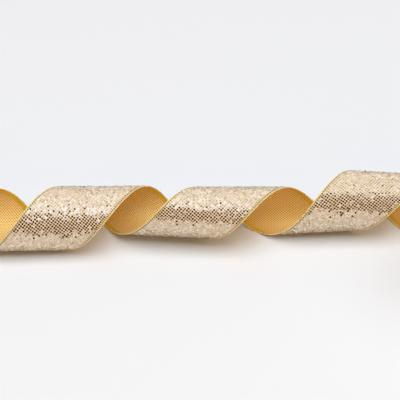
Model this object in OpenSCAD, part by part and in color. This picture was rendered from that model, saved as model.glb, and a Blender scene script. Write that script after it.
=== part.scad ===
// Ribbon spool: a paperboard spool of wired glitter ribbon, with one end drawn off.
// The drawn end leaves the bottom of the roll, lies on the table, curls into a loose
// four-turn helix along X and ends in a dovetail cut. +Z is up and the table is z = 0.

/* [Ribbon] */
// Width of the ribbon over its two bound edges
ribbon_w = 38; // [36:0.5:39]
// Thickness of the glitter film that faces outwards
face_t = 0.2; // [0.15:0.01:0.2]
// Thickness of the gold woven backing
backing_t = 0.2; // [0.15:0.01:0.2]
// Diameter of the wire in each bound edge
wire_d = 0.3; // [0.2:0.01:0.32]
// Length of ribbon that is still wound on the spool
wound_length = 4300; // [3000:100:4800]

/* [Drawn end] */
// Length from the last curl to where the ribbon starts to rise to the roll
flat_run = 42; // [36:1:60]
// Length over which it rises from the table to the roll
rise_run = 38; // [30:1:50]
// Angle that the ribbon stays against the roll, past its lowest point
hug_angle = 24; // [6:6:36]
// Length of the flat end, out to the dovetail's two points
tail_run = 56; // [54:1:70]
// Depth of the dovetail's notch
notch = 16; // [8:1:18]

/* [Spool] */
// Diameter of the two flanges
flange_d = 95; // [92:1:110]
// Thickness of a flange
flange_t = 1.8; // [1.2:0.1:2.5]
// Diameter of the axle hole through each flange
axle_d = 30; // [20:1:34]
// Outer diameter of the core tube
core_d = 44; // [42:1:48]
// Wall of the core tube
core_wall = 2; // [1:0.5:3]
// Space between the roll and each flange
side_gap = 0.8; // [0.5:0.1:1.5]
// Outer diameter of the paper label
label_d = 84; // [60:1:90]

/* [Hidden] */

// Where the helix was laid out, moved so that the origin is under the middle of the whole.
centre = [94.9, -19.6];

// The curl lies against the table. Its radius, and how far its axis is from the line y = 0,
// change along X. They are given at stations, station_step apart from station_x on.
station_x = -60;
station_step = 24;
curl_radii = [17.5, 15, 18, 18, 16, 13, 15.5, 16, 14.5, 15.5, 21, 16.5, 14, 14];
curl_offsets = [4.5, 4.5, 4.5, 0, 5, 13, 13, 6, 8, 8.5, 18.5, 19, 17, 17];

// Across the ribbon at one turn angle they change by this share only of what X alone would
// give, so that the ribbon is nearly straight there, as a strip that bends one way is.
ruling_share = 0.2;

// The ribbon's middle line passes these x each half turn, at the curl's top and bottom. The
// half turn before them and the one after give the two flat ends their directions.
inner_x = [-49, 6.5, 48, 80.5, 122, 164.5, 207.5];
tail_lead = 37;
spool_lead = 35;
first_r = curl_radii[0];
last_r = curl_radii[len(curl_radii) - 1];
half_turn_x = concat(
    [inner_x[0] - first_r * PI * tan(tail_lead)],
    inner_x,
    [inner_x[len(inner_x) - 1] + last_r * PI * tan(spool_lead)]
);
last_phi = 180 * (len(half_turn_x) - 1);

// Across the ribbon, v is measured from its middle line, and h inwards from the face.
// The hem stands out past the cloth by bead_w, and its lip covers lip_w of the back.
half_w = ribbon_w / 2;
bead_w = 0.8;
lip_w = 2.1;
hem_t = 0.12;
hem_gap = 0.15;
ply_gap = 0.02;
cloth_half = half_w - bead_w;
hem_v = cloth_half + 0.05;
lip_v = half_w - lip_w;
backing_h = face_t + ply_gap;
hem_h = backing_h + backing_t + hem_gap;
lip_top = hem_h + hem_t;
wire_v = (hem_v + half_w - hem_t) / 2;
wire_h = (hem_t + hem_h) / 2;
stitch_v = half_w - 1.6;
stitch_w = 0.25;
stitch_t = 0.14;
stitch_h = lip_top + 0.13;
ribbon_t = stitch_h + stitch_t;

// The roll, from the ribbon's length and its thickness where the wired edges stack.
layer_pitch = 0.8;
roll_gap = 0.3;
core_r = core_d / 2;
core_gap = 0.3;
wound_r0 = core_r + core_gap;
wound_r = sqrt(wound_r0 * wound_r0 + wound_length * layer_pitch / PI);
hug_r = wound_r + roll_gap + ribbon_t;
flange_r = flange_d / 2;
half_gap = half_w + side_gap;
lift = flange_r - hug_r;

// Where the ribbon leaves the last curl, and the directions along it and across it there.
run_start = [half_turn_x[len(half_turn_x) - 1], curl_offsets[len(curl_offsets) - 1], 0];
run_dir = [sin(spool_lead), -cos(spool_lead), 0];
cross_dir = [cos(spool_lead), sin(spool_lead), 0];
rise_end = flat_run + rise_run;
spool_centre = run_start + rise_end * run_dir + [0, 0, flange_r];

round_fn = 96;

// Value at u of a smooth curve through a list, whose entries are one apart.
function along(list, u) =
    let (
        n = len(list),
        i = max(0, min(n - 2, floor(u))),
        t = u - i,
        p1 = list[i],
        p2 = list[i + 1],
        p0 = i > 0 ? list[i - 1] : 2 * p1 - p2,
        p3 = i < n - 2 ? list[i + 2] : 2 * p2 - p1
    )
    (2 * p1 + (p2 - p0) * t + (2 * p0 - 5 * p1 + 4 * p2 - p3) * t * t
        + (3 * p1 - p0 - 3 * p2 + p3) * t * t * t) / 2;

function station(x) = max(0, min(len(curl_radii) - 1, (x - station_x) / station_step));
function curl_r(x) = along(curl_radii, station(x));
function curl_y(x) = along(curl_offsets, station(x));

// x of the middle line at turn angle phi. Past both ends it goes on in a straight line.
function mid_x(phi) =
    phi < 0 ? half_turn_x[0] + phi / 180 * (half_turn_x[1] - half_turn_x[0])
    : phi > last_phi
        ? run_start.x + (phi - last_phi) / 180 * last_r * PI * tan(spool_lead)
        : along(half_turn_x, phi / 180);

// Angle between the ribbon's length and the curl's circumference.
function lead(phi) =
    atan2((mid_x(phi + 1) - mid_x(phi - 1)) * 90 / PI, curl_r(mid_x(phi)));

// Angle round the curl at v across the ribbon, where its middle line is at angle phi.
function turn_at(phi, v) = phi - v * sin(lead(phi)) / curl_r(mid_x(phi)) * 180 / PI;

// A point of the curl: it rolls up from the table at angle 0 and down to it at last_phi,
// and is flat on the table beyond both.
function curl_point(phi, v, h) =
    let (
        x = mid_x(phi) + v * cos(lead(phi)),
        turn = turn_at(phi, v),
        shape_x = mid_x(turn) + ruling_share * (x - mid_x(turn)),
        r = curl_r(shape_x),
        y = curl_y(shape_x),
        past = turn < 0 ? turn : turn > last_phi ? turn - last_phi : 0
    )
    past != 0
        ? [x, y - r * past * PI / 180, h]
        : [x, y - (r - h) * sin(turn), r - (r - h) * cos(turn)];

// Distance along the ribbon from where it leaves the last curl.
function run_at(phi) = (phi - last_phi) * PI / 180 * last_r / cos(spool_lead);

function ease(t) = let (c = max(0, min(1, t))) c * c * (3 - 2 * c);

// A point of the run to the spool: flat, then rising, then against the roll.
function run_point(s, v, h) =
    s <= rise_end
        ? run_start + s * run_dir + v * cross_dir
            + [0, 0, h + lift * ease((s - flat_run) / rise_run)]
        : let (turn = (s - rise_end) / hug_r * 180 / PI)
            spool_centre + v * cross_dir + (hug_r - h) * sin(turn) * run_dir
                - [0, 0, (hug_r - h) * cos(turn)];

function ribbon_point(phi, v, h) =
    let (s = run_at(phi))
    (s > flat_run ? run_point(s, v, h) : curl_point(phi, v, h)) - [centre.x, centre.y, 0];

// The cross-sections, as [turn angle, slant, notch]. On the curl, with slant 1, a section
// keeps one turn angle, so it lies along the curl's axis. It turns square to the ribbon
// over each flat end.
curl_step = 15;
slant_run = 36;
function run_phi(s) = last_phi + s / last_r * cos(spool_lead) * 180 / PI;
function tail_phi(s) = -s / first_r * cos(tail_lead) * 180 / PI;
sections = concat(
    [[tail_phi(tail_run), 0, notch]],
    [for (s = [34, 26, 18, 10, 4]) [tail_phi(s), 1 - s / slant_run, 0]],
    [for (phi = [0 : curl_step : last_phi]) [phi, 1, 0]],
    [for (s = [4, 10, 18, 26, 34]) [run_phi(s), 1 - s / slant_run, 0]],
    [for (i = [0 : 8]) [run_phi(flat_run + rise_run * i / 8), 0, 0]],
    [for (t = [6 : 6 : hug_angle]) [run_phi(rise_end + hug_r * t * PI / 180), 0, 0]]
);

// The phi whose point at v is at that turn angle, found in a few steps from phi.
function phi_for(turn, v, phi, steps) =
    steps == 0 ? phi : phi_for(turn, v, phi + turn - turn_at(phi, v), steps - 1);

function section_phi(section, v) =
    let (
        turn = section[0],
        r = curl_r(mid_x(turn)),
        notch_angle = section[2] * (1 - abs(v) / half_w) * cos(lead(turn)) / r * 180 / PI
    )
    turn + section[1] * (phi_for(turn, v, turn, 6) - turn) + notch_angle;

// All points of a loop of [v, h] corners, carried along the sections.
function loop_points(loop) = [
    for (section = sections, p = loop) ribbon_point(section_phi(section, p.x), p.x, p.y)
];

// Side triangles of a loop. Each four-sided patch is cut along the same diagonal of the
// ribbon whichever way the loop runs there, so that the layers stay parallel.
function side_faces(loop) =
    let (n = len(loop))
    [
        for (k = [0 : len(sections) - 2], i = [0 : n - 1], half = [0, 1])
            let (
                j = (i + 1) % n,
                a = k * n + i,
                b = k * n + j,
                c = b + n,
                d = a + n,
                outwards = loop[j].x > loop[i].x
            )
            half == 0 ? (outwards ? [a, b, c] : [a, b, d]) : (outwards ? [a, c, d] : [b, c, d])
    ];

function flipped(faces) = [for (f = faces) [f[2], f[1], f[0]]];
function moved(faces, by) = [for (f = faces) [f[0] + by, f[1] + by, f[2] + by]];

// A solid strip whose loop is closed at both ends by the triangles in cap. Loops run
// along +v at their greatest h and back at their least.
module strip(loop, cap) {
    last = (len(sections) - 1) * len(loop);
    polyhedron(
        points = loop_points(loop),
        faces = concat(side_faces(loop), flipped(cap), moved(cap, last))
    );
}

// One cloth ply between two depths, with columns so that its dovetail end is true.
module ply(h0, h1) {
    mid_v = lip_v / 2;
    columns = [-cloth_half, -lip_v, -mid_v, 0, mid_v, lip_v, cloth_half];
    n = len(columns);
    loop = concat([for (v = columns) [v, h1]], [for (i = [n - 1 : -1 : 0]) [columns[i], h0]]);
    cap = [
        for (i = [0 : n - 2], half = [0, 1])
            half == 0 ? [i, i + 1, 2 * n - 2 - i] : [i, 2 * n - 2 - i, 2 * n - 1 - i]
    ];
    strip(loop, cap);
}

// A loop, or the cap of a loop of n corners, for the ribbon's side 1 or its mirror, -1.
function loop_on(side, loop) =
    side > 0 ? loop : [for (i = [len(loop) - 1 : -1 : 0]) [-loop[i].x, loop[i].y]];
function cap_on(side, cap, n) =
    side > 0 ? cap : [for (f = cap) [n - 1 - f[2], n - 1 - f[1], n - 1 - f[0]]];

// The gold hem: it wraps round the wire at the cloth's edge and folds over the backing.
module edge_binding(side) {
    hem = [
        [hem_v, hem_t], [half_w - hem_t, hem_t], [half_w - hem_t, hem_h], [lip_v, hem_h],
        [lip_v, lip_top], [half_w, lip_top], [half_w, 0], [hem_v, 0]
    ];
    cap = [[0, 1, 6], [0, 6, 7], [1, 2, 5], [1, 5, 6], [2, 3, 4], [2, 4, 5]];
    strip(loop_on(side, hem), cap_on(side, cap, len(hem)));
}

// A thread or wire of few sides, closed by a fan.
module thread(loop) {
    strip(loop, [for (i = [1 : len(loop) - 2]) [0, i, i + 1]]);
}

module edge_wire(side) {
    thread([
        for (i = [0 : 5])
            [side * wire_v + wire_d / 2 * cos(60 * i), wire_h - wire_d / 2 * sin(60 * i)]
    ]);
}

module hem_stitch(side) {
    v0 = side * stitch_v - stitch_w / 2;
    v1 = v0 + stitch_w;
    thread([[v0, ribbon_t], [v1, ribbon_t], [v1, stitch_h], [v0, stitch_h]]);
}

// Places spool parts, which are drawn about Z, on the spool's level axis.
module on_spool() {
    translate(spool_centre - [centre.x, centre.y, 0]) rotate([0, 90, spool_lead]) children();
}

module ring(r_in, r_out, z0, z1) {
    translate([0, 0, z0]) difference() {
        cylinder(r = r_out, h = z1 - z0, $fn = round_fn);
        translate([0, 0, -1]) cylinder(r = r_in, h = z1 - z0 + 2, $fn = round_fn);
    }
}

module flange(side) {
    z = side > 0 ? half_gap : -half_gap - flange_t;
    color("ivory") on_spool() ring(axle_d / 2, flange_r, z, z + flange_t);
}

module core_tube() {
    color("tan") on_spool() ring(core_r - core_wall, core_r, -half_gap, half_gap);
}

// Tape that holds the ribbon's inner end to the core.
module anchor_tape() {
    tape_w = 24;
    tape_angle = 50;
    color("lightyellow") on_spool()
        rotate_extrude(angle = tape_angle, $fn = round_fn)
            translate([core_r + 0.05, -tape_w / 2]) square([0.1, tape_w]);
}

module wound_ribbon() {
    color("wheat") on_spool() ring(wound_r0, wound_r, -cloth_half, cloth_half);
}

module wound_edge(side) {
    z = side > 0 ? hem_v : -half_w;
    color("goldenrod") on_spool() ring(wound_r0, wound_r, z, z + half_w - hem_v);
}

module spool_label() {
    paper_t = 0.2;
    label_hole = axle_d / 2 + 4;
    z = -half_gap - flange_t;
    color("antiquewhite") on_spool() ring(label_hole, label_d / 2, z - paper_t, z);
}

color("wheat") ply(0, face_t);  // glitter_face
color("goldenrod") ply(backing_h, backing_h + backing_t);  // gold_backing
color("gold") edge_binding(-1);  // edge_binding_left
color("gold") edge_binding(1);  // edge_binding_right
color("silver") edge_wire(-1);  // edge_wire_left
color("silver") edge_wire(1);  // edge_wire_right
color("darkgoldenrod") hem_stitch(-1);  // hem_stitch_left
color("darkgoldenrod") hem_stitch(1);  // hem_stitch_right
flange(-1);  // flange_left
flange(1);  // flange_right
core_tube();
anchor_tape();
wound_ribbon();
wound_edge(-1);  // wound_edge_left
wound_edge(1);  // wound_edge_right
spool_label();
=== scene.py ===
"""A spool of wired champagne glitter ribbon, with its free end curled across a pale table.

The ribbon's route is the one that the CAD part has. The object's lengths are in millimetres until
a mesh is made; the table's and the lights' are in metres.
"""
from math import ceil, cos, pi, radians, sin, tan

import bpy
import numpy as np
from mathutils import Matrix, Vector


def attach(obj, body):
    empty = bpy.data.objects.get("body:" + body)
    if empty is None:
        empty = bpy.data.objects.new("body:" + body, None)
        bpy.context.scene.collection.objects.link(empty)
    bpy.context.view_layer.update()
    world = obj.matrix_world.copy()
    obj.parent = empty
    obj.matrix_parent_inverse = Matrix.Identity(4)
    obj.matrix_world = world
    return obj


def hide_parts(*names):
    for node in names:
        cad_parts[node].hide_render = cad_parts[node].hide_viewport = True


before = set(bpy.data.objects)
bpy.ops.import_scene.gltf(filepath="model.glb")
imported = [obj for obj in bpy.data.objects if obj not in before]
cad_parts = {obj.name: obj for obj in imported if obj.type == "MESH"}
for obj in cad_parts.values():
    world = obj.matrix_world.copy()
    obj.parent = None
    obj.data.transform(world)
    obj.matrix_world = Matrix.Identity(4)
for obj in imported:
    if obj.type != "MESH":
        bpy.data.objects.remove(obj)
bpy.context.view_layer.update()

MM = 0.001
TAIL_BODY, SPOOL_BODY = "drawn_ribbon", "spool"
random = np.random.default_rng(11)

# ---------------------------------------------------------------- camera

VIEW_ELEVATION = radians(40)
VIEW_DISTANCE = 900
VIEW_WIDTH = 218
SENSOR = 36
AIM = (14.1, 34.7, 18)


def add_camera():
    data = bpy.data.cameras.new("camera")
    data.sensor_width = SENSOR
    data.lens = SENSOR * VIEW_DISTANCE / VIEW_WIDTH
    data.clip_start = 0.01
    camera = bpy.data.objects.new("camera", data)
    bpy.context.scene.collection.objects.link(camera)
    back, rise = VIEW_DISTANCE * cos(VIEW_ELEVATION), VIEW_DISTANCE * sin(VIEW_ELEVATION)
    camera.location = (AIM[0] * MM, (AIM[1] - back) * MM, (AIM[2] + rise) * MM)
    camera.rotation_euler = (pi / 2 - VIEW_ELEVATION, 0, 0)
    bpy.context.scene.camera = camera


add_camera()

# ---------------------------------------------------------------- the ribbon's route

CENTRE = np.array([94.9, -19.6, 0])
STATION_X, STATION_STEP = -60, 24
CURL_RADII = [17.5, 15, 18, 18, 16, 13, 15.5, 16, 14.5, 15.5, 21, 16.5, 14, 14]
CURL_OFFSETS = [4.5, 4.5, 4.5, 0, 5, 13, 13, 6, 8, 8.5, 18.5, 19, 17, 17]
RULING_SHARE = 0.2
INNER_X = [-49, 6.5, 48, 80.5, 122, 164.5, 207.5]
TAIL_LEAD, SPOOL_LEAD = radians(37), radians(35)
FIRST_R, LAST_R = CURL_RADII[0], CURL_RADII[-1]
HALF_TURN_X = [
    INNER_X[0] - FIRST_R * pi * tan(TAIL_LEAD),
    *INNER_X,
    INNER_X[-1] + LAST_R * pi * tan(SPOOL_LEAD),
]
LAST_PHI = pi * (len(HALF_TURN_X) - 1)

RIBBON_W = 38
HALF_W = RIBBON_W / 2
TAIL_RUN, NOTCH = 56, 16
FLAT_RUN, RISE_RUN, HUG_ANGLE = 42, 38, radians(24)
RISE_END = FLAT_RUN + RISE_RUN

WOUND_LENGTH, LAYER_PITCH = 4300, 0.8
WOUND_R0 = 22.3
WOUND_R = (WOUND_R0**2 + WOUND_LENGTH * LAYER_PITCH / pi) ** 0.5
RIBBON_T, ROLL_GAP, SIDE_GAP = 0.96, 0.3, 0.8
HUG_R = WOUND_R + ROLL_GAP + RIBBON_T
FLANGE_R, FLANGE_T, AXLE_R = 47.5, 1.8, 15
HALF_GAP = HALF_W + SIDE_GAP
LIFT = FLANGE_R - HUG_R

RUN_START = np.array([HALF_TURN_X[-1], CURL_OFFSETS[-1], 0])
RUN_DIR = np.array([sin(SPOOL_LEAD), -cos(SPOOL_LEAD), 0])
CROSS_DIR = np.array([cos(SPOOL_LEAD), sin(SPOOL_LEAD), 0])
UP = np.array([0, 0, 1])
SPOOL_CENTRE = RUN_START + RISE_END * RUN_DIR + FLANGE_R * UP - CENTRE


def along(values, u):
    """Value at u of a smooth curve through values, which are one apart."""
    values = np.asarray(values, float)
    last = len(values) - 1
    ends = [2 * values[0] - values[1]], values, [2 * values[-1] - values[-2]]
    padded = np.concatenate(ends)
    i = np.clip(np.floor(u).astype(int), 0, last - 1)
    t = u - i
    p0, p1, p2, p3 = (padded[i + k] for k in range(4))
    square, cube = 2 * p0 - 5 * p1 + 4 * p2 - p3, 3 * p1 - p0 - 3 * p2 + p3
    return (2 * p1 + (p2 - p0) * t + square * t**2 + cube * t**3) / 2


def station(x):
    return np.clip((x - STATION_X) / STATION_STEP, 0, len(CURL_RADII) - 1)


def curl_r(x):
    return along(CURL_RADII, station(x))


def mid_x(phi):
    """x of the ribbon's middle line, which is straight past both ends of the curl."""
    before = HALF_TURN_X[0] + phi / pi * (HALF_TURN_X[1] - HALF_TURN_X[0])
    after = HALF_TURN_X[-1] + (phi - LAST_PHI) * LAST_R * tan(SPOOL_LEAD)
    on_curl = along(HALF_TURN_X, phi / pi)
    return np.where(phi < 0, before, np.where(phi > LAST_PHI, after, on_curl))


def lead(phi):
    """Angle between the ribbon's length and the curl's circumference."""
    step = radians(1)
    return np.arctan2((mid_x(phi + step) - mid_x(phi - step)) / (2 * step), curl_r(mid_x(phi)))


def curl_point(phi, v, h):
    """A point at v across the ribbon and h in from its glitter face, curled or flat."""
    middle = mid_x(phi)
    x = middle + v * np.cos(lead(phi))
    turn = phi - v * np.sin(lead(phi)) / curl_r(middle)
    shape_x = mid_x(turn) + RULING_SHARE * (x - mid_x(turn))
    r, y = curl_r(shape_x), along(CURL_OFFSETS, station(shape_x))
    on_curl = np.clip(turn, 0, LAST_PHI)
    past = turn - on_curl
    depth = r - h
    return np.stack([x, y - depth * np.sin(on_curl) - r * past, r - depth * np.cos(on_curl)], -1)


def run_point(s, v, h):
    """A point of the run to the spool: flat, then rising, then against the roll."""
    t = np.clip((s - FLAT_RUN) / RISE_RUN, 0, 1)
    rise = LIFT * t * t * (3 - 2 * t)
    turn = np.maximum(s - RISE_END, 0) / HUG_R
    # The last of it is pressed thin, so that it ends close to the roll.
    most_pressed = 0.55
    pressed = most_pressed * np.clip(turn / HUG_ANGLE, 0, 1)
    depth = HUG_R - h * (1 - pressed) - pressed
    level = np.minimum(s, RISE_END) + depth * np.sin(turn)
    height = h + rise + np.where(turn > 0, HUG_R - h - depth * np.cos(turn), 0)
    return RUN_START + level[..., None] * RUN_DIR + v[..., None] * CROSS_DIR + height[..., None] * UP


def tail_phi(s):
    """phi at s before the curl, on the flat end."""
    return -s / FIRST_R * cos(TAIL_LEAD)


def run_phi(s):
    """phi at s past the curl, on the run to the spool."""
    return LAST_PHI + s / LAST_R * cos(SPOOL_LEAD)


def at_phi(phi, v, h):
    """A point of the whole ribbon, in the object's own frame."""
    phi, v, h = np.broadcast_arrays(*(np.asarray(a, float) for a in (phi, v, h)))
    s = (phi - LAST_PHI) * LAST_R / cos(SPOOL_LEAD)
    on_run = (s > FLAT_RUN)[..., None]
    return np.where(on_run, run_point(s, v, h), curl_point(phi, v, h)) - CENTRE


ROUTE_STEPS = 8000
ROUTE_PHI = np.linspace(tail_phi(TAIL_RUN), run_phi(RISE_END + HUG_R * HUG_ANGLE), ROUTE_STEPS)
ROUTE = at_phi(ROUTE_PHI, 0, 0)
ROUTE_S = np.concatenate([[0], np.cumsum(np.linalg.norm(np.diff(ROUTE, axis=0), axis=1))])
TAIL_LENGTH = ROUTE_S[-1]


def ribbon_point(s, v, h):
    """The same point, from its distance along the ribbon, which starts at the dovetail's tips."""
    return at_phi(np.interp(s, ROUTE_S, ROUTE_PHI), v, h)


def notch_s(v):
    """Where the dovetail's cut edge is at v across the ribbon."""
    return NOTCH * (1 - np.abs(v) / HALF_W)


def roll_point(s, v, h):
    """A point of the roll's outermost layer, at s round it."""
    angle = s / WOUND_R
    return spool_point(v, WOUND_R - h, angle)


def spool_point(a, r, angle):
    """A point at a along the spool's axis and r from it."""
    a, r, angle = np.broadcast_arrays(*(np.asarray(x, float) for x in (a, r, angle)))
    across, forward, height = a, r * np.sin(angle), -r * np.cos(angle)
    parts = (across, CROSS_DIR), (forward, RUN_DIR), (height, UP)
    return SPOOL_CENTRE + sum(amount[..., None] * direction for amount, direction in parts)


# ---------------------------------------------------------------- meshes

DOT_PITCH = 1.35
WEAVE_PITCH = 1.1
ROW_STEP = 1.1


def mesh_piece(name, points, faces, body, materials, smooth=True, tones=None, own=None):
    """A piece of the object from arrays: points in millimetres, faces all of one size.

    own gives each point's distances along and across the piece, for its material.
    """
    mesh = bpy.data.meshes.new(name)
    points, faces = np.asarray(points).reshape(-1, 3), np.asarray(faces)
    sides = faces.shape[1]
    mesh.vertices.add(len(points))
    mesh.vertices.foreach_set("co", (points * MM).ravel())
    mesh.loops.add(faces.size)
    mesh.loops.foreach_set("vertex_index", faces.ravel())
    mesh.polygons.add(len(faces))
    mesh.polygons.foreach_set("loop_start", np.arange(0, faces.size, sides))
    mesh.polygons.foreach_set("loop_total", np.full(len(faces), sides))
    mesh.polygons.foreach_set("use_smooth", np.full(len(faces), smooth))
    for material in materials:
        mesh.materials.append(material)
    if tones is not None:
        mesh.polygons.foreach_set("material_index", tones)
    if own is not None:
        layer = mesh.uv_layers.new(name="own_mm")
        layer.data.foreach_set("uv", np.asarray(own).reshape(-1, 2)[faces.ravel()].ravel())
    mesh.update(calc_edges=True)
    mesh.validate()
    if smooth:
        mesh.set_sharp_from_angle(angle=radians(50))
    piece = bpy.data.objects.new(name, mesh)
    bpy.context.scene.collection.objects.link(piece)
    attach(piece, body)
    return piece


def grid_faces(rows, columns, ring=False):
    """Faces of a grid of points, each row's columns in turn. A ring's last column meets its first."""
    i = np.arange(rows - 1)[:, None]
    j = np.arange(columns if ring else columns - 1)[None, :]
    k = (j + 1) % columns
    corners = i * columns + j, i * columns + k, (i + 1) * columns + k, (i + 1) * columns + j
    return np.stack(corners, -1).reshape(-1, 4)


def sheet_piece(name, place, s_rows, v_columns, depths, body, slot, materials):
    """A thin closed sheet between two depths. Its first material is outside, its last inside."""
    s_rows, v_columns = np.asarray(s_rows), np.asarray(v_columns)
    v = np.broadcast_to(v_columns, s_rows.shape)
    outer, inner = place(s_rows, v, depths[0]), place(s_rows, v, depths[1])
    rows, columns = s_rows.shape
    total = rows * columns
    index = np.arange(total).reshape(rows, columns)
    rim = np.concatenate([index[0], index[1:, -1], index[-1, -2::-1], index[-2:0:-1, 0]])
    after = np.roll(rim, -1)
    sides = np.stack([after, rim, rim + total, after + total], -1)
    front = grid_faces(rows, columns)
    faces = np.concatenate([front, front[:, ::-1] + total, sides])
    tones = np.repeat([0, len(materials) - 1, 0], [len(front), len(front), len(sides)])
    own = np.tile(np.stack([s_rows, v], -1).reshape(-1, 2), (2, 1))
    points = np.concatenate([outer.reshape(-1, 3), inner.reshape(-1, 3)])
    return mesh_piece(name, points, faces, body, materials, tones=tones, own=own)


def swept_piece(name, place, s_values, loops, body, slot, materials):
    """A solid swept along s: loops has one closed loop of (v, h) corners for each s."""
    s_values = np.asarray(s_values, float)
    loops = np.broadcast_to(loops, (len(s_values), *np.shape(loops)[-2:]))
    rows, columns = loops.shape[:2]
    points = place(s_values[:, None], loops[..., 0], loops[..., 1])
    ends = points[[0, -1]].mean(axis=1)
    sides = grid_faces(rows, columns, ring=True)
    ring = np.arange(columns)
    after = np.roll(ring, -1)
    total = rows * columns
    last = total - columns
    # Each end is a fan of triangles round its middle, so the sides are cut into triangles too.
    low = np.stack([after, ring, np.full(columns, total)], -1)
    high = np.stack([last + ring, last + after, np.full(columns, total + 1)], -1)
    faces = np.concatenate([sides[:, [0, 1, 2]], sides[:, [0, 2, 3]], low, high])
    along_s = np.repeat(s_values, columns)
    around = np.tile(ring, rows)
    own = np.concatenate([np.stack([along_s, around / columns], -1), [[0, 0], [0, 0]]])
    points = np.concatenate([points.reshape(-1, 3), ends])
    return mesh_piece(name, points, faces, body, materials, own=own)


def lathe_piece(name, profile, body, materials, steps=192):
    """A ring turned about the spool's axis from a closed profile of (along axis, radius)."""
    profile = np.asarray(profile, float)
    angle = np.linspace(0, 2 * pi, steps, endpoint=False)
    points = spool_point(profile[None, :, 0], profile[None, :, 1], angle[:, None])
    count = len(profile)
    faces = grid_faces(steps + 1, count, ring=True) % (steps * count)
    own = np.stack(np.broadcast_arrays(angle[:, None], profile[None, :, 1]), -1)
    return mesh_piece(name, points, faces, body, materials, own=own)


DOT_SIDES = 8
DOT_R = 0.57
DOT_ROWS = 26
DOTS_HALF = (DOT_ROWS - 1) / 2 * DOT_PITCH + DOT_R
DOT_JITTER = 0.025
# Most dots lie nearly flat, some are tipped and a few stand up. A dot's rim rises no more than
# MOST_LIFT, and the table holds it at PRESSED_Z.
DOT_TIPS = np.radians([3.5, 14, 24])
DOT_TIP_SHARES = [0.66, 0.22, 0.12]
MOST_LIFT = 0.22
PRESSED_Z = -0.05


def dots_piece(name, place, s, v, body, slot, materials, shares):
    """Glitter dots: closed, nearly flat lenses, each tipped a little its own way on the film."""
    count = len(s)
    angle = np.arange(DOT_SIDES) * 2 * pi / DOT_SIDES
    around_s, around_v = DOT_R * np.cos(angle), DOT_R * np.sin(angle)
    spread = random.choice(DOT_TIPS, size=count, p=DOT_TIP_SHARES)
    tip_s, tip_v = random.normal(size=(2, count)) * spread
    lift = DOT_R * np.hypot(tip_s, tip_v)
    held = np.minimum(1, MOST_LIFT / lift)
    tip_s, tip_v, lift = tip_s * held, tip_v * held, lift * held
    seat, crown, root = 0.045, 0.011, 0.12
    rim_h = seat - lift[:, None] + tip_s[:, None] * around_s + tip_v[:, None] * around_v
    rim = place(s[:, None] + around_s, v[:, None] + around_v, rim_h)
    top, base = place(s, v, seat - lift - crown), place(s, v, np.full(count, root))
    points = np.concatenate([rim, top[:, None], base[:, None]], axis=1)
    points[..., 2] = np.maximum(points[..., 2], PRESSED_Z)
    k = np.arange(DOT_SIDES)
    after = (k + 1) % DOT_SIDES
    upper = np.stack([after, k, np.full(DOT_SIDES, DOT_SIDES)], -1)
    lower = np.stack([k, after, np.full(DOT_SIDES, DOT_SIDES + 1)], -1)
    one = np.concatenate([upper, lower])
    faces = (np.arange(count)[:, None, None] * (DOT_SIDES + 2) + one).reshape(-1, 3)
    tones = np.repeat(random.choice(len(materials), size=count, p=shares), len(one))
    return mesh_piece(name, points, faces, body, materials, smooth=False, tones=tones)


def stitches_piece(name, place, s, v, h, size, body, slot, materials):
    """A row of short stitches: closed spindles of size (length, width, thickness)."""
    length, width, thick = size
    corners = np.array([
        [-length / 2, 0, 0], [0, width / 2, 0], [0, 0, thick / 2],
        [0, -width / 2, 0], [0, 0, -thick / 2], [length / 2, 0, 0],
    ])
    points = place(s[:, None] + corners[:, 0], v + corners[:, 1], h + corners[:, 2])
    ring = [1, 2, 3, 4]
    pairs = list(zip(ring, ring[1:] + ring[:1]))
    one = np.array([(0, b, a) for a, b in pairs] + [(5, a, b) for a, b in pairs])
    faces = (np.arange(len(s))[:, None, None] * len(corners) + one).reshape(-1, 3)
    return mesh_piece(name, points, faces, body, materials)


# ---------------------------------------------------------------- materials


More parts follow.
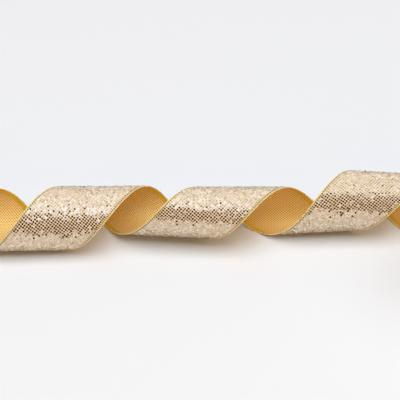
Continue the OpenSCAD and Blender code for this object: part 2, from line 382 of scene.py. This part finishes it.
class Shade:
    """A node material: its Principled shader, and short ways to wire patterns into it."""

    def __init__(self, name, colour, roughness, metallic=0.0, **sockets):
        self.material = bpy.data.materials.new(name)
        self.material.use_nodes = True
        self.tree = self.material.node_tree
        self.shader = self.tree.nodes["Principled BSDF"]
        self.shader.inputs["Base Color"].default_value = (*colour, 1)
        self.shader.inputs["Roughness"].default_value = roughness
        self.shader.inputs["Metallic"].default_value = metallic
        for socket, value in sockets.items():
            self.shader.inputs[socket.replace("_", " ")].default_value = value

    def node(self, kind, **inputs):
        made = self.tree.nodes.new(kind)
        for key, value in inputs.items():
            self.put(made.inputs[int(key[1:]) if key[1:].isdigit() else key.replace("_", " ")], value)
        return made

    def put(self, socket, value):
        if isinstance(value, bpy.types.NodeSocket):
            self.tree.links.new(value, socket)
        else:
            socket.default_value = value

    def math(self, operation, a, b=0.0):
        made = self.node("ShaderNodeMath", _0=a, _1=b)
        made.operation = operation
        return made.outputs[0]

    def own_mm(self):
        """Distances in millimetres along the piece and across it."""
        layer = self.node("ShaderNodeUVMap")
        layer.uv_map = "own_mm"
        parts = self.node("ShaderNodeSeparateXYZ", Vector=layer.outputs["UV"])
        return parts.outputs["X"], parts.outputs["Y"]

    def wave(self, coordinate, pitch, phase=0.0):
        """A cosine from 0 to 1, once in each pitch."""
        angle = self.math("MULTIPLY_ADD", coordinate, 2 * pi / pitch)
        angle.node.inputs[2].default_value = phase
        half = self.math("MULTIPLY_ADD", self.math("COSINE", angle), 0.5)
        half.node.inputs[2].default_value = 0.5
        return half

    def noise(self, scale, detail=2.0):
        place = self.node("ShaderNodeTexCoord").outputs["Object"]
        return self.node("ShaderNodeTexNoise", Vector=place, Scale=scale, Detail=detail).outputs["Fac"]

    def mix(self, factor, a, b):
        made = self.node("ShaderNodeMix")
        made.data_type = "RGBA"
        self.put(made.inputs["Factor"], factor)
        for socket, value in (("A", a), ("B", b)):
            colour_in = [i for i in made.inputs if i.name == socket and i.type == "RGBA"][0]
            self.put(colour_in, value if isinstance(value, bpy.types.NodeSocket) else (*value, 1))
        return [o for o in made.outputs if o.type == "RGBA"][0]

    def ramp(self, value, low, high):
        """value mapped so that low gives 0 and high gives 1, and no further."""
        made = self.node("ShaderNodeMapRange", Value=value, From_Min=low, From_Max=high)
        return made.outputs["Result"]

    def colour(self, value):
        self.put(self.shader.inputs["Base Color"], value)

    def bump(self, height, distance, strength=0.6):
        made = self.node("ShaderNodeBump", Height=height, Distance=distance * MM, Strength=strength)
        self.put(self.shader.inputs["Normal"], made.outputs["Normal"])


def lattice_material():
    """Cream mesh between the glitter dots, with gold thread along both edges."""
    shade = Shade("lattice", (0.80, 0.62, 0.42), 0.42, metallic=0.15)
    s, v = shade.own_mm()
    across = shade.math("ABSOLUTE", v)
    edge = shade.ramp(across, DOTS_HALF, DOTS_HALF + 0.15)
    cloudy = shade.noise(160)
    cream = shade.mix(cloudy, (0.82, 0.67, 0.47), (0.92, 0.79, 0.60))
    slant = shade.wave(shade.math("ADD", s, v), 0.7)
    thread = shade.mix(slant, (0.60, 0.49, 0.15), (0.97, 0.81, 0.38))
    shade.colour(shade.mix(edge, cream, thread))
    shade.bump(shade.math("ADD", shade.wave(s, DOT_PITCH, pi), shade.wave(v, DOT_PITCH)), 0.05)
    return shade.material


def foil_material(name, colour, roughness):
    return Shade(name, colour, roughness, metallic=1.0).material


def gold_cloth_material():
    """Amber gold cloth with the darker lines of its open weave."""
    shade = Shade("gold_cloth", (0.90, 0.52, 0.14), 0.42, metallic=0.15)
    s, v = shade.own_mm()
    threads = shade.math("MAXIMUM", shade.wave(s, WEAVE_PITCH), shade.wave(v, WEAVE_PITCH))
    threads = shade.ramp(threads, 0.15, 0.9)
    light = shade.mix(shade.noise(60, 4.0), (0.95, 0.635, 0.195), (0.99, 0.765, 0.31))
    dark = shade.mix(shade.noise(400, 2.0), (0.33, 0.15, 0.022), (0.50, 0.255, 0.05))
    shade.colour(shade.mix(threads, dark, light))
    shade.bump(threads, 0.10, 0.6)
    return shade.material


def selvage_material():
    """Saturated gold thread, ribbed across, of the hem on the ribbon's back."""
    shade = Shade("selvage", (0.62, 0.36, 0.03), 0.36, metallic=0.45)
    s, _ = shade.own_mm()
    ribs = shade.wave(s, 0.5)
    shade.colour(shade.mix(ribs, (0.74, 0.48, 0.018), (0.98, 0.72, 0.08)))
    shade.bump(ribs, 0.06)
    return shade.material


def lurex_material():
    """Twisted metallic thread over the wire."""
    shade = Shade("lurex", (0.80, 0.64, 0.25), 0.30, metallic=0.35)
    s, _ = shade.own_mm()
    specks = shade.ramp(shade.noise(1400, 1.0), 0.52, 0.70)
    shade.colour(shade.mix(specks, (1.0, 0.86, 0.50), (0.50, 0.42, 0.16)))
    shade.bump(shade.wave(s, 0.4), 0.04)
    return shade.material


def thread_material():
    shade = Shade("stitch_thread", (0.20, 0.16, 0.06), 0.6)
    shade.colour(shade.mix(shade.noise(900), (0.075, 0.062, 0.020), (0.20, 0.17, 0.065)))
    return shade.material


def wire_material():
    shade = Shade("craft_wire", (0.62, 0.61, 0.58), 0.32, metallic=1.0)
    shade.colour(shade.mix(shade.noise(700, 3.0), (0.52, 0.51, 0.49), (0.68, 0.67, 0.64)))
    return shade.material


def board_material():
    """White-faced board: fine fibre, a little mottled."""
    shade = Shade("board", (0.86, 0.84, 0.79), 0.62)
    shade.colour(shade.mix(shade.noise(70, 5.0), (0.80, 0.775, 0.72), (0.88, 0.865, 0.82)))
    shade.bump(shade.noise(900, 6.0), 0.06, 0.5)
    return shade.material


def board_edge_material():
    """The cut edge of the board, where its layers show."""
    shade = Shade("board_edge", (0.55, 0.47, 0.36), 0.8)
    layers = shade.noise(500, 3.0)
    shade.colour(shade.mix(layers, (0.46, 0.38, 0.28), (0.66, 0.58, 0.46)))
    shade.bump(layers, 0.12, 0.6)
    return shade.material


def kraft_material():
    """Kraft board of the core tube, mottled and slightly rough."""
    shade = Shade("kraft", (0.52, 0.36, 0.21), 0.78)
    shade.colour(shade.mix(shade.noise(240, 6.0), (0.42, 0.28, 0.15), (0.60, 0.43, 0.26)))
    shade.bump(shade.noise(1200, 4.0), 0.08)
    return shade.material


def label_material():
    """Plain label paper with two thin gold rings printed near its edges."""
    shade = Shade("label_paper", (0.88, 0.85, 0.77), 0.5)
    _, r = shade.own_mm()
    paper = shade.mix(shade.noise(300, 5.0), (0.84, 0.80, 0.71), (0.90, 0.87, 0.80))
    rings, half_line = (22.5, 38.5), 0.35
    from_inner, from_outer = (shade.math("ABSOLUTE", shade.math("SUBTRACT", r, at)) for at in rings)
    nearest = shade.math("MINIMUM", from_inner, from_outer)
    printed = shade.math("LESS_THAN", nearest, half_line)
    shade.colour(shade.mix(printed, paper, (0.62, 0.43, 0.13)))
    return shade.material


def tape_material():
    shade = Shade("tape", (0.80, 0.72, 0.50), 0.2, Coat_Weight=0.4)
    shade.colour(shade.mix(shade.noise(200), (0.76, 0.67, 0.44), (0.84, 0.77, 0.57)))
    return shade.material


LATTICE = lattice_material()
GOLD_CLOTH = gold_cloth_material()
SELVAGE = selvage_material()
LUREX = lurex_material()
THREAD = thread_material()
FOILS = [
    foil_material("foil_champagne", (0.66, 0.56, 0.425), 0.12),
    foil_material("foil_pale", (0.80, 0.735, 0.63), 0.16),
    foil_material("foil_gold", (0.60, 0.475, 0.325), 0.15),
    foil_material("foil_worn", (0.60, 0.515, 0.41), 0.38),
]
FOIL_SHARES = [0.45, 0.3, 0.15, 0.1]

# ---------------------------------------------------------------- the drawn-off ribbon

FILM_DEPTHS, CLOTH_DEPTHS = (0.06, 0.20), (0.22, 0.42)
CLOTH_HALF = HALF_W - 0.8
LIP_V, LIP_H, LIP_TOP = HALF_W - 2.8, 0.50, 0.66
BEAD_V, BEAD_H, BEAD_R = HALF_W - 0.40, 0.39, 0.385
WIRE_V, WIRE_R = HALF_W - 0.42, 0.15
STITCH_PITCH = 1.35
# Each row: its name, depth, place across the ribbon, stitch size and shift in pitches.
STITCH_ROWS = [
    ("back", LIP_TOP + 0.03, HALF_W - 1.6, (0.85, 0.24, 0.16), 0),
    ("front", 0.04, HALF_W - 1.15, (1.20, 0.80, 0.14), 0.5),
]


def tail_rows(v_columns):
    """s of each row's points: slanted along the dovetail's cut, and square to the ribbon past it."""
    fade = 34
    t = np.linspace(0, TAIL_LENGTH, ceil(TAIL_LENGTH / ROW_STEP))[:, None]
    return t + notch_s(np.asarray(v_columns)) * np.clip(1 - t / fade, 0, 1)


def rows_from_cut(v, step):
    """s of the sections of a strip at v, from the dovetail's cut edge on."""
    return np.arange(notch_s(v) + 0.05, TAIL_LENGTH, step)


def dot_grid(length):
    """Centres of the glitter dots, on a square grid along the ribbon's edges."""
    v = (np.arange(DOT_ROWS) - (DOT_ROWS - 1) / 2) * DOT_PITCH
    s = np.arange(0.5 * DOT_PITCH, length - 0.3 * DOT_PITCH, DOT_PITCH)
    s, v = (a.ravel() for a in np.meshgrid(s, v, indexing="ij"))
    jitter = random.normal(size=(2, len(s))) * DOT_JITTER
    return s + jitter[0], v + jitter[1]


def add_tail_cloth():
    """The film and cloth of the drawn-off ribbon, and the film's glitter in two pieces."""
    columns = np.linspace(-CLOTH_HALF, CLOTH_HALF, 27)
    grid = ribbon_point, tail_rows(columns), columns
    film = sheet_piece("glitter_film", *grid, FILM_DEPTHS, TAIL_BODY, "glitter", [LATTICE])
    cloth = sheet_piece("gold_cloth", *grid, CLOTH_DEPTHS, TAIL_BODY, "gold_cloth", [GOLD_CLOTH])
    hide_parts("glitter_face")
    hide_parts("gold_backing")
    s, v = dot_grid(TAIL_LENGTH)
    kept = s > notch_s(v) + DOT_R
    s, v = s[kept], v[kept]
    dots = []
    middle = TAIL_LENGTH / 2
    for name, half in (("glitter_dots_end", s < middle), ("glitter_dots_run", s >= middle)):
        place = ribbon_point, s[half], v[half]
        dots.append(dots_piece(name, *place, TAIL_BODY, "glitter", FOILS, FOIL_SHARES))
    return film, cloth, dots


def bead_loops(s, side):
    """Loops of a two-ply twisted thread that covers the wire."""
    points, twist_pitch, ply = 10, 1.5, 0.1
    around = np.arange(points) * 2 * pi / points
    twist = 2 * pi * s[:, None] / twist_pitch
    r = BEAD_R * (1 - ply + ply * np.cos(2 * around - twist))
    v = side * BEAD_V + r * np.cos(around)
    return np.stack([v, BEAD_H + r * np.sin(around)], -1)


def lip_loop(side):
    """The hem's flat lip on the back, with tapered edges, up to the thread over the wire."""
    half, thick = (HALF_W - 0.35 - LIP_V) / 2, (LIP_TOP - LIP_H) / 2
    middle = side * (LIP_V + half)
    flat = 0.65
    shape = [(-1, 0), (-flat, -1), (0, -1), (flat, -1), (1, 0), (flat, 1), (0, 1), (-flat, 1)]
    return np.array([(middle + x * half, LIP_H + thick + y * thick) for x, y in shape])


def hexagon_loop(v, h, r):
    """A thread or wire's section, of six corners."""
    around = np.arange(6) * pi / 3
    return np.stack([v + r * np.cos(around), h + r * np.sin(around)], -1)


def add_stitches(side, label):
    """The hem's rows of stitches, one on each face of the ribbon."""
    rows = []
    from_end = 0.6
    for where, h, v, size, offset in STITCH_ROWS:
        first = notch_s(v) + from_end + offset * STITCH_PITCH
        s = np.arange(first, TAIL_LENGTH - from_end, STITCH_PITCH)
        place = ribbon_point, s, side * v, h
        row = stitches_piece(f"stitches_{where}_{label}", *place, size, TAIL_BODY, "thread", [THREAD])
        rows.append(row)
    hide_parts(f"hem_stitch_{label}")
    return rows


def add_hem(side, label):
    """One edge of the drawn-off ribbon: thread over the wire, lip, the wire and stitches."""
    twist_step, wire_step = 0.3, 1.5
    s = rows_from_cut(BEAD_V, twist_step)
    route = ribbon_point, s, bead_loops(s, side)
    bead = swept_piece(f"edge_thread_{label}", *route, TAIL_BODY, "gold_edge", [LUREX])
    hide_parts(f"edge_binding_{label}")
    route = ribbon_point, rows_from_cut(LIP_V, ROW_STEP), lip_loop(side)
    lip = swept_piece(f"hem_lip_{label}", *route, TAIL_BODY, "gold_edge", [SELVAGE])
    s = np.arange(0.2, TAIL_LENGTH, wire_step)
    route = ribbon_point, s, hexagon_loop(side * WIRE_V, BEAD_H, WIRE_R)
    wire = swept_piece(f"wire_{label}", *route, TAIL_BODY, "wire", [WIRE])
    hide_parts(f"edge_wire_{label}")
    return [bead, lip, wire, *add_stitches(side, label)]


WIRE = wire_material()
film, cloth, tail_dots = add_tail_cloth()
hems = [piece for side, label in ((-1, "left"), (1, "right")) for piece in add_hem(side, label)]

# ---------------------------------------------------------------- the spool


def layered_r(turns):
    """Outer radius of the wound ribbon after so many turns."""
    first_layer = 0.6
    return WOUND_R0 + LAYER_PITCH * (turns + first_layer)


def spiral_point(turns, v, h):
    """A point of the wound layers, h in from their face after so many turns."""
    return spool_point(v, layered_r(turns) - h, 2 * pi * turns)


def spiral_edge_point(turns, v, h):
    """The same for an edge thread, which ends as a circle under the outermost layer's edge."""
    r = np.minimum(layered_r(turns), WOUND_R)
    return spool_point(v, r - h, 2 * pi * turns)


def add_roll():
    """The wound ribbon: a spiral under one closed outermost layer, its edges and its glitter."""
    turns = (WOUND_R - LAYER_PITCH - layered_r(0)) / LAYER_PITCH
    per_turn = 72
    count = ceil(turns * per_turn)
    s_rows = np.repeat(np.linspace(0, turns, count)[:, None], 2, axis=1)
    grid = spiral_point, s_rows, np.array([-CLOTH_HALF, CLOTH_HALF])
    faces = [ROLL_LATTICE, GOLD_CLOTH]
    inner = sheet_piece("wound_layers", *grid, (0.1, 0.5), SPOOL_BODY, "gold_cloth", faces)
    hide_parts("wound_ribbon")
    low, high = WOUND_R - 0.42, WOUND_R - 0.06
    profile = [
        (-CLOTH_HALF, low), (-CLOTH_HALF, high), (0, high),
        (CLOTH_HALF, high), (CLOTH_HALF, low), (0, low),
    ]
    outer = lathe_piece("wound_outer_layer", profile, SPOOL_BODY, [ROLL_LATTICE], steps=256)
    s, v = dot_grid(2 * pi * WOUND_R - 0.4)
    dots = dots_piece("wound_dots", roll_point, s, v, SPOOL_BODY, "glitter", FOILS, FOIL_SHARES)
    pieces = [outer, dots]
    for side, label in ((-1, "left"), (1, "right")):
        edge_turns = np.linspace(0, turns + 1, count + per_turn)
        route = spiral_edge_point, edge_turns, hexagon_loop(side * BEAD_V, 0.42, BEAD_R)
        edge = swept_piece(f"wound_thread_{label}", *route, SPOOL_BODY, "gold_edge", [LUREX])
        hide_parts(f"wound_edge_{label}")
        pieces.append(edge)
    return inner, pieces, turns


def flange_profile(side):
    """A board disc whose cut edges are slightly bevelled."""
    near, far = HALF_GAP, HALF_GAP + FLANGE_T
    bevel = 0.25
    corners = [
        (near, AXLE_R + bevel), (near, FLANGE_R - bevel),
        (near + bevel, FLANGE_R), (far - bevel, FLANGE_R),
        (far, FLANGE_R - bevel), (far, AXLE_R + bevel),
        (far - bevel, AXLE_R), (near + bevel, AXLE_R),
    ]
    corners = [(side * a, r) for a, r in corners]
    return corners if side < 0 else corners[::-1]


def add_flange(side, label):
    """A flange: white board on the faces that look along the axle, and bare board on its edges."""
    boards = [BOARD, BOARD_EDGE]
    flange = lathe_piece(f"flange_disc_{label}", flange_profile(side), SPOOL_BODY, boards)
    mesh = flange.data
    normals = np.zeros(len(mesh.polygons) * 3)
    mesh.polygons.foreach_get("normal", normals)
    facing = np.abs(normals.reshape(-1, 3) @ CROSS_DIR)
    mesh.polygons.foreach_set("material_index", (facing < 0.5).astype(int))
    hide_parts(f"flange_{label}")


def add_label():
    """The plain paper ring on the left flange."""
    inner_r, outer_r, paper = AXLE_R + 4, 42, 0.2
    glued = -HALF_GAP - FLANGE_T
    shown = glued - paper
    profile = [(glued, inner_r), (glued, outer_r), (shown, outer_r), (shown, inner_r)]
    label = lathe_piece("label_ring", profile, SPOOL_BODY, [label_material()])
    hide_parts("spool_label")


def restyle(node, material):
    """Gives a CAD node, whose shape is right as it is, its material."""
    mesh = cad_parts[node].data
    mesh.materials.clear()
    mesh.materials.append(material)


def roll_lattice_material():
    """The cream mesh under the roll's dots, without the ribbon's own grid."""
    shade = Shade("lattice_on_roll", (0.80, 0.62, 0.42), 0.42, metallic=0.15)
    shade.colour(shade.mix(shade.noise(160), (0.72, 0.54, 0.34), (0.86, 0.70, 0.50)))
    shade.bump(shade.noise(1500, 1.0), 0.04)
    return shade.material


ROLL_LATTICE = roll_lattice_material()
BOARD = board_material()
BOARD_EDGE = board_edge_material()
roll, roll_pieces, roll_turns = add_roll()
add_flange(-1, "left")
add_flange(1, "right")
add_label()
restyle("core_tube", kraft_material())
restyle("anchor_tape", tape_material())

# ---------------------------------------------------------------- table, light and surroundings


def add_table():
    """A wide table top, a hair below z = 0, so that it doesn't meet the ribbon's own faces."""
    half, below = 4.0, 0.00006
    mesh = bpy.data.meshes.new("table")
    corners = [(x * half, y * half, -below) for x, y in ((-1, -1), (1, -1), (1, 1), (-1, 1))]
    mesh.from_pydata(corners, [], [(0, 1, 2, 3)])
    shade = Shade("table", (0.83, 0.90, 0.96), 0.55)
    shade.colour(shade.mix(shade.noise(3.0, 3.0), (0.825, 0.89, 0.955), (0.84, 0.905, 0.97)))
    mesh.materials.append(shade.material)
    table = bpy.data.objects.new("table", mesh)
    bpy.context.scene.collection.objects.link(table)


def add_softbox(name, place, size, radiance, mirrored=True, lighting=True, colour=(1, 1, 1)):
    """A rectangular light of even radiance; size is (across, along) in metres.

    One that isn't mirrored shows in no gloss. One that isn't lighting shows in gloss only.
    """
    ribbon_y, ribbon_z = 0.02, 0.02
    aim = (place[0], ribbon_y, ribbon_z)
    data = bpy.data.lights.new(name, "AREA")
    data.shape = "RECTANGLE"
    data.size, data.size_y = size
    data.energy = radiance * pi * size[0] * size[1]
    data.color = colour
    light = bpy.data.objects.new(name, data)
    bpy.context.scene.collection.objects.link(light)
    light.location = place
    light.rotation_euler = (Vector(aim) - Vector(place)).to_track_quat("-Z", "Y").to_euler()
    light.visible_glossy = mirrored
    light.visible_diffuse = lighting


def add_world(brightness):
    world = bpy.data.worlds.new("room")
    bpy.context.scene.world = world
    world.use_nodes = True
    background = world.node_tree.nodes["Background"]
    background.inputs["Color"].default_value = (1.0, 0.52, 0.20, 1)
    background.inputs["Strength"].default_value = brightness


add_table()
# What the foil mirrors: a bluish ceiling on the left, a dimmer one on the right and a wall behind.
for part, middle, width, overhead, ceiling in (
    ("left", -0.71, 1.78, (1.03, 1.23, 1.50), (1.10, 1.18, 1.30)),
    ("right", 0.89, 1.42, (0.76, 0.79, 0.80), (0.80, 0.80, 0.80)),
):
    near, far = (middle, -0.05, 1.2), (middle, 0.70, 1.24)
    add_softbox(f"overhead_{part}", near, (width, 0.8), 1, lighting=False, colour=overhead)
    add_softbox(f"ceiling_{part}", far, (width, 0.67), 1, lighting=False, colour=ceiling)
add_softbox("backdrop", (0.0, 1.3, 0.6), (3.2, 1.2), 1.05, lighting=False)
# What lights everything else: a wide key from above and a warm fill from the front.
add_softbox("key", (0.3, -0.45, 2.6), (4.6, 2.4), 2.82, mirrored=False)
add_softbox("fill", (0.0, -2.2, 0.7), (4.0, 1.0), 1.5, mirrored=False, colour=(1.0, 0.55, 0.2))
add_world(0.10)
bpy.context.scene.view_settings.view_transform = "Standard"
# The denoiser's own first filter would blur the small glitter dots together.
bpy.context.scene.cycles.denoising_prefilter = "NONE"
